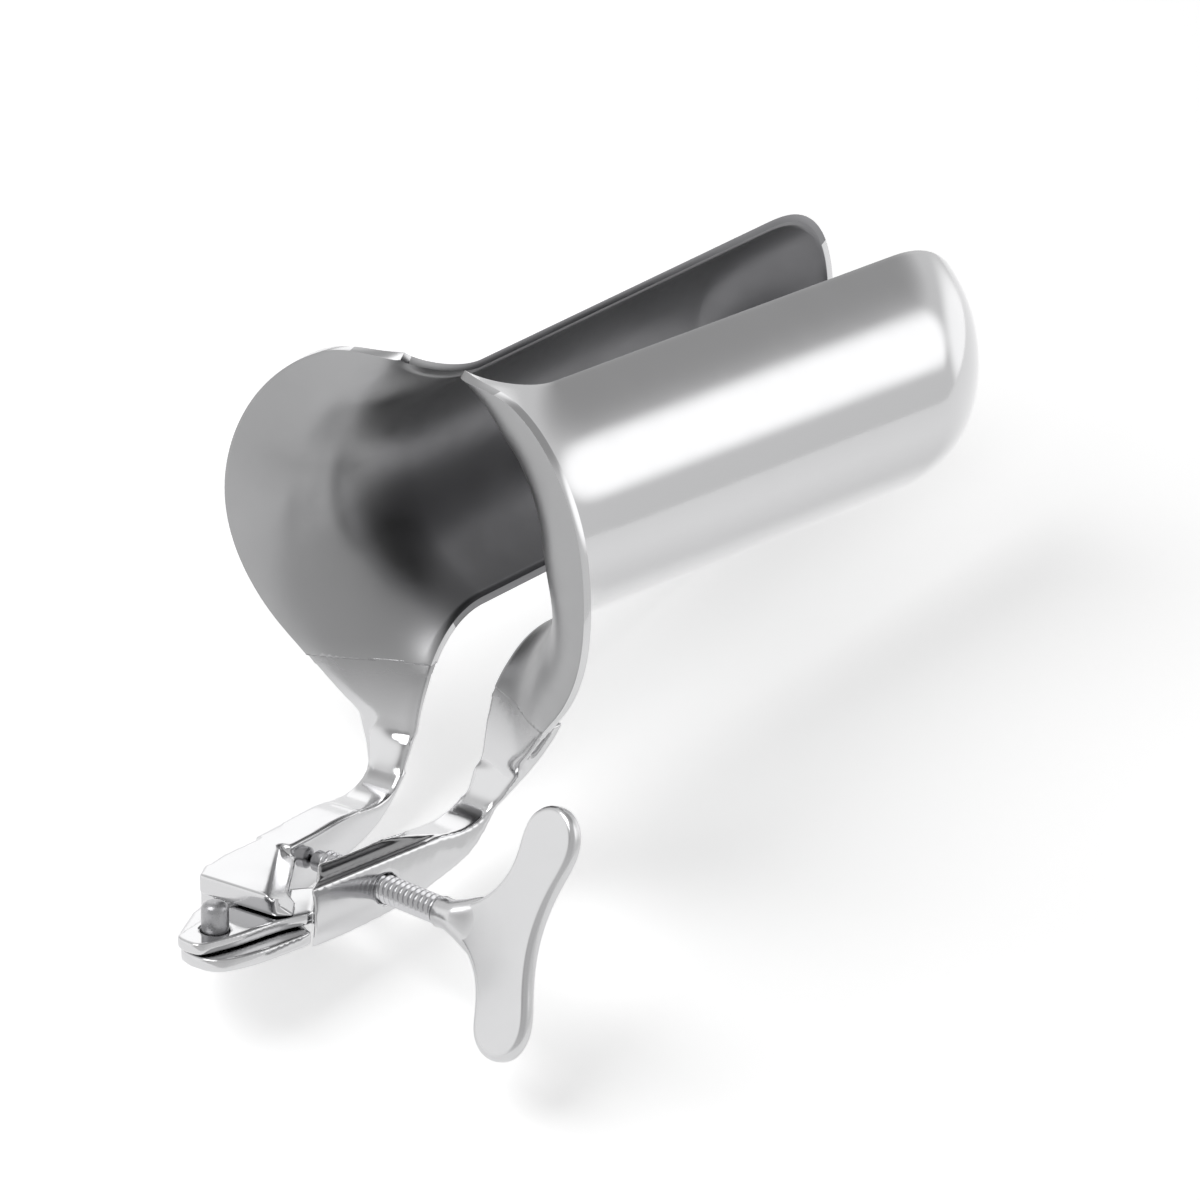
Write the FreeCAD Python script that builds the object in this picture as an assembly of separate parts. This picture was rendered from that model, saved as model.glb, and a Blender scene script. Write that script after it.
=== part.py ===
"""Bivalve speculum with a thumb screw, in millimetres.

Two polished half-tube blades open like tweezers. Each blade is drawn from sheet, flares into half
of a funnel and is brazed to a forged lever. The levers turn on one upright pin at their far end,
and a winged screw through the upper lever pushes against the lower one.

Frame: +X runs along the lower blade towards its nose, +Y runs up the hinge pin from the levers to
the blades, +Z is the way the upper valve opens. The origin is on the hinge axis, on the flat outer
face of the lower cheek.
"""

import FreeCAD, Part

import math
import os

from FreeCAD import Matrix, Vector

# Blade, measured on one half of the tube
BLADE_WIDTH = 37.4
BLADE_DEPTH = 13.0
BLADE_CENTRE_Y = 47.9
SECTION_ROUNDING = 0.25
THROAT_X = 67.0
TIP_X = 152.5
RIM_NOSE = 17.0
RIM_FULLNESS = 2.6
BOWL_NOSE = 18.0
BOWL_FULLNESS = 1.6
SHEET = 1.3

# Funnel, a half disc that runs out into a neck
FUNNEL_RADIUS = 28.5
FUNNEL_CENTRE_Y = 47.2
FUNNEL_X = 45.0
FUNNEL_TOP_X = 48.5
FUNNEL_TOP_DROP = 1.8
NECK_X = 51.2
NECK_END_Y = 13.6
NECK_WIDTH = 11.3

# How the valves stand to the hinge pin
REST_OPENING = 7.6
LOWER_RIM_DROP = 4.5
UPPER_RIM_RISE = 0.0

# Levers
BAR_BOTTOM_Y = -1.2
BAR_TOP_Y = 8.0
BAR_END_X = 12.4
BAR_END_SLANT = 5.2
UPPER_BAR_END_Y = 11.0
UPPER_BAR_INNER = 2.3
BAR_OUTER = 6.8
SCOOP_RADIUS = 4.8
ARM_TOP_Y = 22.0

# Hinge: cheek, tongue and plate lie on each other along the pin
CHEEK_THICKNESS = 2.0
TONGUE_THICKNESS = 1.8
PLATE_THICKNESS = 3.0
LAP_CLEARANCE = 0.2
CHEEK_END = 5.6
TONGUE_END = 5.7
TONGUE_HALF_WIDTH = 3.7
TONGUE_ROOT_WIDTH = 5.7
SHOULDER_RADIUS = 13.7
PIN_RADIUS = 1.95
PIN_STAND = 4.2
PIN_DOME = 1.3
PIN_CLEARANCE = 0.06
RIVET_CLEARANCE = 0.02
PLATE_END_X = 7.5
PLATE_NEAR_Z = 6.2
PLATE_CORNER = 1.6
PLATE_FACET = 2.6
PLATE_FAR_Z = -11.0
PLATE_DIAGONAL_Z = 2.4
WEB_NEAR_Z = -6.8
WEB_END_X = 24.0
LOWER_BAR_END_X = 22.5

# Thumb screw
SCREW_X = 26.8
SCREW_Y = 3.5
SCREW_RADIUS = 2.1
SCREW_CLEARANCE = 0.06
NOSE_RADIUS = 1.55
NOSE_LENGTH = 2.5
NOSE_GAP = 0.1
JOINT_GAP = 0.02
THREAD_END = 17.0
NECK_LENGTH = 6.0
NECK_RADIUS = 2.5
WING_SPAN = 36.8
WING_OFFSET = 1.6
WING_WIDTH = 9.6
WING_REACH = 38.0
WING_THICKNESS = 2.4
WING_DIP = 2.2
WING_TILT = 21.5

# Places along the hinge pin
TONGUE_Y = CHEEK_THICKNESS + LAP_CLEARANCE
PLATE_Y = TONGUE_Y + TONGUE_THICKNESS + LAP_CLEARANCE
PLATE_TOP_Y = PLATE_Y + PLATE_THICKNESS


def smooth_curve(points, parameters=None):
    """A B-spline through points, with its parameter at each one where they are given."""
    curve = Part.BSplineCurve()
    if parameters is None:
        curve.interpolate(Points=points)
    else:
        curve.interpolate(Points=points, Parameters=parameters)
    return curve


def rim_curve():
    """The funnel's rim from its top corner round the half disc, the neck and the neck's round end.

    Points are (x, y, depth from the parting plane), and the parameter runs from 0 to 1.
    """
    half_turn = 130.0
    share_of_disc = 0.70
    points, parameters = [], []
    for angle in (0.0, 24.0, 48.0, 70.0, 90.0, 111.0, half_turn):
        turn = math.radians(angle)
        lean = math.cos(turn / 2.0) ** 8
        x = FUNNEL_X + (FUNNEL_TOP_X - FUNNEL_X) * lean + 4.7 * max(0.0, -math.cos(turn)) ** 1.5
        y = FUNNEL_CENTRE_Y + FUNNEL_RADIUS * math.cos(turn) - FUNNEL_TOP_DROP * lean
        points.append(Vector(x, y, FUNNEL_RADIUS * math.sin(turn)))
        parameters.append(share_of_disc * angle / half_turn)
    points += [
        Vector(NECK_X - 2.2, NECK_END_Y + 8.8, NECK_WIDTH + 4.6),
        Vector(NECK_X - 0.8, NECK_END_Y + 3.4, NECK_WIDTH),
        Vector(NECK_X + 0.5, NECK_END_Y + 0.7, 0.55 * NECK_WIDTH),
        Vector(NECK_X + 1.4, NECK_END_Y, 0.0),
    ]
    parameters += [0.80, 0.875, 0.94, 1.0]
    return smooth_curve(points, parameters)


RIM = rim_curve()


def blade_point(x, share):
    """A point of the blade's outside at x, with share 0 at the top edge and 1 at the bottom edge."""
    half = BLADE_WIDTH / 2.0
    past_rim = max(0.0, (x - (TIP_X - RIM_NOSE)) / RIM_NOSE)
    past_bowl = max(0.0, (x - (TIP_X - BOWL_NOSE)) / BOWL_NOSE)
    width = half * max(0.0, 1.0 - past_rim ** RIM_FULLNESS) ** (1.0 / RIM_FULLNESS)
    depth = BLADE_DEPTH * max(0.0, 1.0 - past_bowl ** BOWL_FULLNESS) ** (1.0 / BOWL_FULLNESS)
    across = 1.0 - 2.0 * share
    arch = (1.0 - across ** 2) * (1.0 + SECTION_ROUNDING * across ** 2)
    return Vector(x, BLADE_CENTRE_Y + width * across, depth * arch)


def flare_point(along, share):
    """A point of the funnel's outside, with along 0 at the throat and 1 at the rim."""
    throat = blade_point(THROAT_X, share)
    rim = RIM.value(share)
    leave = Vector(throat.x - 0.62 * (throat.x - rim.x), throat.y, throat.z)
    arrive = Vector(
        rim.x + 0.06 * (throat.x - rim.x),
        rim.y - 0.5 * (rim.y - throat.y),
        rim.z - 0.5 * (rim.z - throat.z),
    )
    s, t = 1.0 - along, along
    return throat * s ** 3 + leave * (3 * s * s * t) + arrive * (3 * s * t * t) + rim * t ** 3


def sheet_rows():
    """The sheet's rows as functions of share, from the nose to the funnel's rim."""
    rows = []
    nose_steps = 9
    for k in range(nose_steps):
        angle = math.radians(82.0) * (1.0 - k / nose_steps)
        rows.append(("blade", TIP_X - BOWL_NOSE + BOWL_NOSE * math.sin(angle)))
    straight = (TIP_X - BOWL_NOSE) - THROAT_X
    for k in range(5):
        rows.append(("blade", THROAT_X + straight * (1.0 - k / 4.0)))
    for k in range(1, 9):
        rows.append(("flare", k / 8.0))
    return rows


def sheet_solid():
    """Blade, nose, funnel half and neck as one drawn sheet, its parting edges on the plane z = 0."""
    columns = 25
    shares = [k / (columns - 1.0) for k in range(columns)]
    outer = []
    for kind, value in sheet_rows():
        place = blade_point if kind == "blade" else flare_point
        outer.append([place(value, share) for share in shares])
    outside = Part.BSplineSurface()
    outside.interpolate(outer)
    inner = []
    for i, row in enumerate(outer):
        inner.append([])
        for j, point in enumerate(row):
            along = outer[min(i + 1, len(outer) - 1)][j] - outer[max(i - 1, 0)][j]
            across = row[min(j + 1, columns - 1)] - row[max(j - 1, 0)]
            normal = along.cross(across)
            if j in (0, columns - 1):
                normal.z = 0.0
            normal.normalize()
            inner[-1].append(point - normal * SHEET)
    inside = Part.BSplineSurface()
    inside.interpolate(inner)
    return outside, inside, outer, inner


def closed_sheet():
    """Joins the sheet's two faces along their four edges."""
    outside, inside, outer, inner = sheet_solid()
    faces = [outside.toShape(), inside.toShape()]
    u0, u1, v0, v1 = outside.bounds()
    p0, p1, q0, q1 = inside.bounds()
    pairs = [
        (outside.uIso(u0), inside.uIso(p0)),
        (outside.uIso(u1), inside.uIso(p1)),
        (outside.vIso(v0), inside.vIso(q0)),
        (outside.vIso(v1), inside.vIso(q1)),
    ]
    for one, other in pairs:
        faces.append(Part.makeRuledSurface(one.toShape(), other.toShape()))
    shell = Part.Shell([f for face in faces for f in face.Faces])
    shell.sewShape()
    solid = Part.Solid(Part.Shell(shell.Faces))
    if solid.Volume < 0:
        solid.reverse()
    return solid


def side_profile(start_x, start_y, top_y):
    """The lever seen from the side: the bar from start_x to the elbow, and the arm up to its end."""
    under = [
        Vector(start_x, BAR_BOTTOM_Y, 0),
        Vector(20.0 + 0.3 * start_x, BAR_BOTTOM_Y + 0.4, 0),
        Vector(36.5, BAR_BOTTOM_Y + 2.5, 0),
        Vector(43.0, BAR_BOTTOM_Y + 4.8, 0),
        Vector(47.4, 7.0, 0),
        Vector(50.4, 10.5, 0),
        Vector(53.1, 15.6, 0),
        Vector(55.4, ARM_TOP_Y, 0),
    ]
    over = [
        Vector(55.4 - 2.2, ARM_TOP_Y, 0),
        Vector(51.6, 18.0, 0),
        Vector(50.2, 14.2, 0),
        Vector(49.5, 12.2, 0),
        Vector(48.2, 9.6, 0),
        Vector(45.6, top_y, 0),
        Vector(37.0, top_y, 0),
        Vector(24.0 + 0.2 * start_x, 0.5 * (top_y + start_y), 0),
        Vector(start_x, start_y, 0),
    ]
    edges = [
        smooth_curve(under).toShape(),
        Part.makeLine(under[-1], over[0]),
        smooth_curve(over).toShape(),
        Part.makeLine(over[-1], under[0]),
    ]
    return Part.Face(Part.Wire(edges))


def plan_profile(start_x, inner, slant):
    """The lever seen from above: its inner face, which steps in past the screw, and its outer face."""
    inside = [
        Vector(start_x + slant, 0, inner),
        Vector(30.0, 0, inner),
        Vector(38.0, 0, 0.45 * inner),
        Vector(44.0, 0, 0),
    ]
    outside = [
        Vector(49.0, 0, BAR_OUTER + 1.6),
        Vector(44.0, 0, BAR_OUTER + 0.2),
        Vector(36.0, 0, BAR_OUTER),
        Vector(start_x, 0, BAR_OUTER),
    ]
    wide = [Vector(60.0, 0, 0), Vector(60.0, 0, 14.0), Vector(51.5, 0, 14.0)]
    edges = [
        smooth_curve(inside).toShape(),
        Part.makePolygon([inside[-1]] + wide + [outside[0]]),
        smooth_curve(outside).toShape(),
        Part.makeLine(outside[-1], inside[0]),
    ]
    return Part.Face(Part.Wire([e for edge in edges for e in edge.Edges]))


def arm_profile():
    """The arm seen along the blades: it widens upwards to the width of the neck."""
    outside = [
        Vector(0, -4.0, BAR_OUTER),
        Vector(0, 7.0, BAR_OUTER),
        Vector(0, 9.0, BAR_OUTER + 0.3),
        Vector(0, 12.6, 8.9),
        Vector(0, 16.6, NECK_WIDTH),
        Vector(0, ARM_TOP_Y, NECK_WIDTH + 2.0),
    ]
    rest = [outside[-1], Vector(0, ARM_TOP_Y, 0), Vector(0, -4.0, 0), outside[0]]
    edges = smooth_curve(outside).toShape().Edges + Part.makePolygon(rest).Edges
    return Part.Face(Part.Wire(edges))


def forged_arm(start_x, start_y, top_y, inner, slant):
    """The bar from start_x to the elbow and the arm up behind the neck, from its three views."""
    side = side_profile(start_x, start_y, top_y).extrude(Vector(0, 0, 16))
    plan = plan_profile(start_x, inner, slant)
    plan.translate(Vector(0, -6, 0))
    front = arm_profile()
    body = side.common(plan.extrude(Vector(0, 40, 0)))
    return body.common(front.extrude(Vector(70, 0, 0)))


def seat(body, sheet):
    """Cuts the lever back to the outside of the sheet that is brazed onto it."""
    for step in range(5):
        copy = sheet.copy()
        copy.translate(Vector(-0.9 * SHEET * step, 0, 0))
        body = body.cut(copy)
    return max(body.Solids, key=lambda solid: solid.Volume)


def prism(outline, low_y, thickness):
    """Extrudes a plan outline of (x, z) points along +Y."""
    points = [Vector(x, low_y, z) for x, z in outline]
    wire = Part.makePolygon(points + [points[0]])
    return Part.Face(wire).extrude(Vector(0, thickness, 0))


def upright(radius, low_y, height, x=0.0, z=0.0):
    """A cylinder along +Y."""
    return Part.makeCylinder(radius, height, Vector(x, low_y, z), Vector(0, 1, 0))


def mirrored(shape):
    """The shape on the other side of the parting plane."""
    return shape.mirror(Vector(0, 0, 0), Vector(0, 0, 1))


def lower_place(shape):
    """Moves a shape of the lower valve from the parting plane to its place under the hinge axis."""
    placed = mirrored(shape)
    placed.translate(Vector(0, 0, -LOWER_RIM_DROP))
    return placed


def upper_place(shape):
    """Turns a shape of the upper valve about the hinge pin to the opening at rest."""
    placed = shape.copy()
    placed.rotate(Vector(0, 0, 0), Vector(0, -1, 0), REST_OPENING)
    return placed


def upper_sheet():
    """The upper valve's sheet in the upper valve's own frame."""
    shape = closed_sheet()
    shape.translate(Vector(0, 0, UPPER_RIM_RISE))
    return shape


def scoop():
    """The long hollow ground along the upper bar's outer top edge."""
    axis_y = BAR_TOP_Y + SCOOP_RADIUS - 0.2
    return Part.makeCylinder(SCOOP_RADIUS, 40.0, Vector(0, axis_y, BAR_OUTER - 0.6), Vector(1, 0, 0))


def tongue():
    """The upper lever's tongue, with a rounded tip past the hinge pin."""
    tip, half, root = TONGUE_END, TONGUE_HALF_WIDTH, TONGUE_ROOT_WIDTH
    near = [
        Vector(-tip, TONGUE_Y, 0),
        Vector(0.1 - tip, TONGUE_Y, 0.35 * half),
        Vector(0.55 - tip, TONGUE_Y, 0.6 * half),
        Vector(-0.55 * tip, TONGUE_Y, 0.82 * half),
        Vector(0, TONGUE_Y, half),
        Vector(BAR_END_X, TONGUE_Y, root),
    ]
    far = [Vector(p.x, TONGUE_Y, -p.z) for p in near[:-1]]
    far.append(Vector(BAR_END_X, TONGUE_Y, -root))
    inside = [
        Vector(BAR_END_X + 10.0, TONGUE_Y, UPPER_BAR_INNER + 2.0),
        Vector(BAR_END_X + 10.0, TONGUE_Y, UPPER_BAR_INNER - 1.0),
    ]
    tip_curve = smooth_curve(far[::-1] + near[1:]).toShape()
    root_lines = Part.makePolygon([near[-1]] + inside + [far[-1]])
    face = Part.Face(Part.Wire(tip_curve.Edges + root_lines.Edges))
    return face.extrude(Vector(0, TONGUE_THICKNESS, 0))


def upper_lever(sheet):
    """Forged bar, arm and tongue, with the hinge eye, the tapped hole and the seat for the sheet."""
    body = forged_arm(BAR_END_X, UPPER_BAR_END_Y, BAR_TOP_Y, UPPER_BAR_INNER, BAR_END_SLANT)
    body = body.cut(scoop()).fuse(tongue())
    body = body.cut(upright(PIN_RADIUS + PIN_CLEARANCE, TONGUE_Y - 1.0, TONGUE_THICKNESS + 2.0))
    tapped = Part.makeCylinder(SCREW_RADIUS + SCREW_CLEARANCE, 2.0 * BAR_OUTER)
    return seat(body.cut(along_screw(tapped)), sheet)


def shoulder_point(z):
    """A point (x, z) on the fork's round shoulder, which the upper bar's end clears."""
    return (math.sqrt(SHOULDER_RADIUS ** 2 - z ** 2), z)


def lower_plate():
    """The hinge plate that covers the tongue, with its square end short of the pin."""
    blend_x = 1.7 * LOWER_BAR_END_X
    outline = [
        (PLATE_END_X, PLATE_FAR_Z + 2.1),
        (PLATE_END_X, PLATE_NEAR_Z - PLATE_CORNER),
        (PLATE_END_X + PLATE_CORNER, PLATE_NEAR_Z),
        shoulder_point(PLATE_NEAR_Z),
        shoulder_point(0.7 * PLATE_NEAR_Z),
        shoulder_point(PLATE_DIAGONAL_Z),
        (LOWER_BAR_END_X - 1.0, -LOWER_RIM_DROP + 1.5),
        (LOWER_BAR_END_X + 1.0, -LOWER_RIM_DROP),
        (blend_x, -LOWER_RIM_DROP),
        (blend_x, -LOWER_RIM_DROP - 5.0),
        (WEB_END_X, PLATE_FAR_Z + 0.6),
        (2.0 * PLATE_END_X, PLATE_FAR_Z),
        (PLATE_END_X + 3.0, PLATE_FAR_Z + 0.6),
    ]
    return prism(outline, PLATE_Y, PLATE_THICKNESS).cut(plate_facet())


def plate_facet():
    """The wedge ground off the plate's top edge along the side that faces the upper lever."""
    start = Vector(shoulder_point(PLATE_DIAGONAL_Z)[0], PLATE_TOP_Y, PLATE_DIAGONAL_Z)
    end = Vector(LOWER_BAR_END_X - 1.0, PLATE_TOP_Y, -LOWER_RIM_DROP + 1.5)
    along = (end - start).normalize()
    outward = Vector(-along.z, 0, along.x)
    base = start - along * 6.0
    corners = [
        base - outward * PLATE_FACET,
        base + outward * PLATE_FACET - Vector(0, 1.6 * PLATE_FACET, 0),
        base + outward * PLATE_FACET + Vector(0, 1.0, 0),
        base - outward * PLATE_FACET + Vector(0, 1.0, 0),
    ]
    wedge = Part.Face(Part.makePolygon(corners + corners[:1]))
    return wedge.extrude(along * 18.0)


def lower_web():
    """The wall beside the tongue that carries the lower cheek."""
    near_x = PLATE_END_X + 1.5
    outline = [
        (near_x, PLATE_FAR_Z + 1.0),
        (near_x, WEB_NEAR_Z),
        (WEB_END_X, WEB_NEAR_Z),
        (WEB_END_X, PLATE_FAR_Z + 0.8),
        (near_x + 3.0, PLATE_FAR_Z + 0.8),
    ]
    return prism(outline, 0.0, PLATE_Y + 1.0)


def lower_cheek():
    """The cheek under the tongue that holds the hinge pin."""
    tip = CHEEK_END
    near = [
        Vector(1.2 - tip, 0, -2.6),
        Vector(0.3 - tip, 0, 0),
        Vector(0.3 - tip, 0, 2.2),
        Vector(1.2 - tip, 0, 4.3),
        Vector(3.4 - tip, 0, 5.8),
        Vector(6.4 - tip, 0, 6.9),
        Vector(10.6 - tip, 0, 7.8),
        Vector(14.6 - tip, 0, 8.5),
    ]
    shoulder = [shoulder_point(z) for z in (8.5, 5.0, 1.0)]
    rest = shoulder + [
        (12.0, -4.0),
        (WEB_END_X, WEB_NEAR_Z),
        (WEB_END_X, PLATE_FAR_Z + 1.0),
        (12.0, PLATE_FAR_Z + 0.8),
        (6.0, -9.0),
        (0.0, -6.4),
    ]
    corners = [near[-1]] + [Vector(x, 0, z) for x, z in rest] + [near[0]]
    edges = smooth_curve(near).toShape().Edges + Part.makePolygon(corners).Edges
    return Part.Face(Part.Wire(edges)).extrude(Vector(0, CHEEK_THICKNESS, 0))


def lower_lever():
    """Forged bar and arm with the plate, web and cheek of the hinge, and the seat for the sheet."""
    arm = forged_arm(LOWER_BAR_END_X, PLATE_TOP_Y, PLATE_TOP_Y, 0.0, 0.0)
    body = lower_place(seat(arm, closed_sheet()))
    body = body.multiFuse([lower_plate(), lower_web(), lower_cheek()])
    return body.cut(upright(PIN_RADIUS + RIVET_CLEARANCE, -1.0, CHEEK_THICKNESS + 2.0))


def hinge_pin():
    """The pin, riveted into the lower cheek, with a domed head end above the tongue."""
    top = TONGUE_Y + TONGUE_THICKNESS + PIN_STAND
    shoulder = top - PIN_DOME
    sphere = (PIN_RADIUS ** 2 + PIN_DOME ** 2) / (2.0 * PIN_DOME)
    sweep = math.asin(PIN_RADIUS / sphere) / 2.0
    middle = Vector(sphere * math.sin(sweep), top - sphere * (1.0 - math.cos(sweep)), 0)
    edges = [
        Part.makeLine(Vector(0, 0, 0), Vector(PIN_RADIUS, 0, 0)),
        Part.makeLine(Vector(PIN_RADIUS, 0, 0), Vector(PIN_RADIUS, shoulder, 0)),
        Part.Arc(Vector(PIN_RADIUS, shoulder, 0), middle, Vector(0, top, 0)).toShape(),
        Part.makeLine(Vector(0, top, 0), Vector(0, 0, 0)),
    ]
    return Part.Face(Part.Wire(edges)).revolve(Vector(0, 0, 0), Vector(0, 1, 0), 360)


def nose_tip_z():
    """Where the screw's tip stands at rest in the upper valve's frame, just clear of the lower lever."""
    turn = math.radians(REST_OPENING)
    return (NOSE_GAP - LOWER_RIM_DROP - SCREW_X * math.sin(turn)) / math.cos(turn)


def along_screw(shape):
    """Moves a shape made about the z axis onto the screw's axis."""
    placed = shape.copy()
    placed.translate(Vector(SCREW_X, SCREW_Y, 0))
    return placed


def screw_nose():
    """The plain round tip that pushes on the lower lever."""
    tip = nose_tip_z()
    crown = NOSE_RADIUS * 0.5
    ball = NOSE_RADIUS * 1.25
    body = Part.makeCylinder(NOSE_RADIUS, NOSE_LENGTH - crown, Vector(0, 0, tip + crown))
    cap = Part.makeSphere(ball, Vector(0, 0, tip + ball))
    column = Part.makeCylinder(NOSE_RADIUS, crown, Vector(0, 0, tip))
    return along_screw(body.fuse(cap.common(column)))


def screw_shank():
    """The threaded shank, drawn at its major diameter."""
    start = nose_tip_z() + NOSE_LENGTH + JOINT_GAP
    chamfer = 0.5
    cone = Part.makeCone(SCREW_RADIUS - chamfer, SCREW_RADIUS, chamfer, Vector(0, 0, start))
    body = Part.makeCylinder(SCREW_RADIUS, THREAD_END - start - chamfer, Vector(0, 0, start + chamfer))
    return along_screw(cone.fuse(body))


def wing_outline(side):
    """One half of the wing as (span, reach) points, from the neck to its back; side is 1 or -1.

    The upper lobe stands out further than the lower one.
    """
    half = WING_SPAN / 2.0 + side * WING_OFFSET
    root = THREAD_END + NECK_LENGTH
    inner = WING_REACH - WING_WIDTH
    return [
        (1.9, root - 2.5),
        (3.2, root + 0.2),
        (6.6, inner - 1.6),
        (11.5, inner + 0.2),
        (half - 2.6, inner + 1.0),
        (half - 0.2, inner + 4.2),
        (half - 1.0, WING_REACH - 1.6),
        (half - 4.6, WING_REACH + 0.3),
        (half - 10.6, WING_REACH - 0.9),
    ]


def screw_wing():
    """The flat wing and its neck, tilted about the screw's axis as it stands at rest."""
    points = [Vector(u, 0, z) for u, z in wing_outline(1)]
    points.append(Vector(WING_OFFSET, 0, WING_REACH - WING_DIP))
    points += [Vector(-u, 0, z) for u, z in reversed(wing_outline(-1))]
    curve = smooth_curve(points)
    base = Part.makeLine(points[-1], points[0])
    face = Part.Face(Part.Wire([curve.toShape(), base]))
    face.translate(Vector(0, -WING_THICKNESS / 2.0, 0))
    plate = face.extrude(Vector(0, WING_THICKNESS, 0))
    foot = Vector(0, 0, THREAD_END + JOINT_GAP)
    neck = Part.makeCone(SCREW_RADIUS - 0.05, NECK_RADIUS, NECK_LENGTH - 0.5, foot)
    body = plate.fuse(neck)
    body.rotate(Vector(0, 0, 0), Vector(0, 0, 1), 90.0 - WING_TILT)
    return along_screw(body)


def main():
    """Builds every piece at rest and writes one file for each."""
    os.makedirs("parts", exist_ok=True)
    sheet = upper_sheet()
    upper = upper_place(sheet)
    lower = lower_place(closed_sheet())
    pieces = {
        "lower_blade": lower,
        "lower_lever": lower_lever(),
        "hinge_pin": hinge_pin(),
        "upper_blade": upper,
        "upper_lever": upper_place(upper_lever(sheet)),
        "screw_nose": upper_place(screw_nose()),
        "screw_shank": upper_place(screw_shank()),
        "screw_wing": upper_place(screw_wing()),
    }
    for name, shape in pieces.items():
        print(name, shape.isValid(), len(shape.Solids), round(shape.Volume, 1))
        shape.exportStep(f"parts/{name}.step")


main()
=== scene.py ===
"""Looks of a bivalve speculum with a thumb screw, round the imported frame.

Two valves of drawn and polished stainless steel turn on an upright pin, and a winged screw through
the upper lever sets how far they open. Lengths in the classes are millimetres; meshes are metres.
"""

import logging
import math
from dataclasses import dataclass, field
from enum import Enum

import bmesh
import bpy
import numpy as np
from mathutils import Matrix, Vector


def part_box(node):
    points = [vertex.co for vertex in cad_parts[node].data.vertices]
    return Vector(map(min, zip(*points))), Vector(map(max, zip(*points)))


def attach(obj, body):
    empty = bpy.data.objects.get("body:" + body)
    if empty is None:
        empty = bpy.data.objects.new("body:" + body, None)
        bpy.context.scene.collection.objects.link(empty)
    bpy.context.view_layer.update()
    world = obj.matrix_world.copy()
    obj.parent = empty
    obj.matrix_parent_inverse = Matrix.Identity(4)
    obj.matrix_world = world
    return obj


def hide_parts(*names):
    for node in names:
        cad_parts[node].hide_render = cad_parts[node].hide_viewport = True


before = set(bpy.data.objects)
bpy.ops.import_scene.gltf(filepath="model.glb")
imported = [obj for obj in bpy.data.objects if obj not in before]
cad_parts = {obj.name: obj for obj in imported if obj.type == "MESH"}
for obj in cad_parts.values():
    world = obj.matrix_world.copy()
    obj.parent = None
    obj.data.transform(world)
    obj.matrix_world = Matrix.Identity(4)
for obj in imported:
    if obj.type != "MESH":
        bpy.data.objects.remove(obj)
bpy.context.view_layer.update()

# One millimetre in the scene's metres.
MM = 0.001
# The upper valve's opening at rest, in degrees, and how far the lower valve is let down.
REST_OPENING = 7.6
LOWER_RIM_DROP = 4.5
# Where the screw's axis crosses the upper valve's own frame, in x and y.
SCREW_AXIS = (26.8, 3.5)
# The height at which the drawn sheet hands over to the lever's skin, and how far they overlap.
NECK_JOIN_Y = 24.0
NECK_OVERLAP = 0.3
# Points nearer together than this are one point.
MERGE = 0.002
# A face with at least this many corners closes a cut or is a plate's broad side.
BROAD_FACE = 12
# Nearly all values of a noise texture lie between these two.
NOISE_LOW = 0.3
NOISE_HIGH = 0.7
# The right and up directions of the photograph's camera.
PHOTO_RIGHT = (0.599, 0.0, 0.801)
PHOTO_UP = (0.308, 0.923, -0.230)

log = logging.getLogger("speculum")


def photo_view() -> Matrix:
    """Works out the turn of the photograph's camera.

    Returns:
        A matrix with the camera's right, up and back as its columns.
    """
    right = Vector(PHOTO_RIGHT).normalized()
    up = Vector(PHOTO_UP)
    up = (up - right * up.dot(right)).normalized()
    return Matrix((right, up, right.cross(up))).transposed().to_4x4()


VIEW = photo_view()


class Slot(Enum):
    """The record's material slots."""

    POLISHED = "polished_steel"
    TURNED = "turned_steel"


class Valve(Enum):
    """The two valves, by the body each one moves with."""

    LOWER = "lower_valve"
    UPPER = "upper_valve"


def linear(hex_colour: str) -> tuple[float, float, float, float]:
    """Turns an sRGB hex colour into a linear colour with full alpha.

    Args:
        hex_colour: Six hex digits after a hash sign.

    Returns:
        Red, green, blue and alpha for a colour socket.
    """
    digits = hex_colour.lstrip("#")
    channels = []
    for start in (0, 2, 4):
        value = int(digits[start:start + 2], 16) / 255.0
        channels.append(value / 12.92 if value <= 0.04045 else ((value + 0.055) / 1.055) ** 2.4)
    return (channels[0], channels[1], channels[2], 1.0)


def ease(part: float) -> float:
    """A part, held between 0 and 1, that starts and ends gently."""
    part = min(1.0, max(0.0, part))
    return part * part * (3.0 - 2.0 * part)


def bare_material(name: str) -> bpy.types.Material:
    """Makes a material that has no nodes yet.

    Args:
        name: The material's name.

    Returns:
        The material, ready for its nodes.
    """
    material = bpy.data.materials.new(name)
    material.use_nodes = True
    material.node_tree.nodes.clear()
    return material


def add_node(
    tree: bpy.types.NodeTree, kind: str, inputs: dict | None = None, **settings: object
) -> bpy.types.Node:
    """Adds a node, sets it up and links it.

    Args:
        tree: The node tree that gets the node.
        kind: The node's type name.
        inputs: A value, or an output socket to link from, for each input by its name or number.
        **settings: Attributes of the node itself.

    Returns:
        The new node.
    """
    node = tree.nodes.new(kind)
    for name, value in settings.items():
        setattr(node, name, value)
    for key, value in (inputs or {}).items():
        if isinstance(value, bpy.types.NodeSocket):
            tree.links.new(value, node.inputs[key])
        else:
            node.inputs[key].default_value = value
    return node


def upper_place() -> Matrix:
    """The upper valve's own frame, turned about the hinge pin to the opening at rest."""
    return Matrix.Rotation(math.radians(REST_OPENING), 4, Vector((0.0, -1.0, 0.0)))


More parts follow.
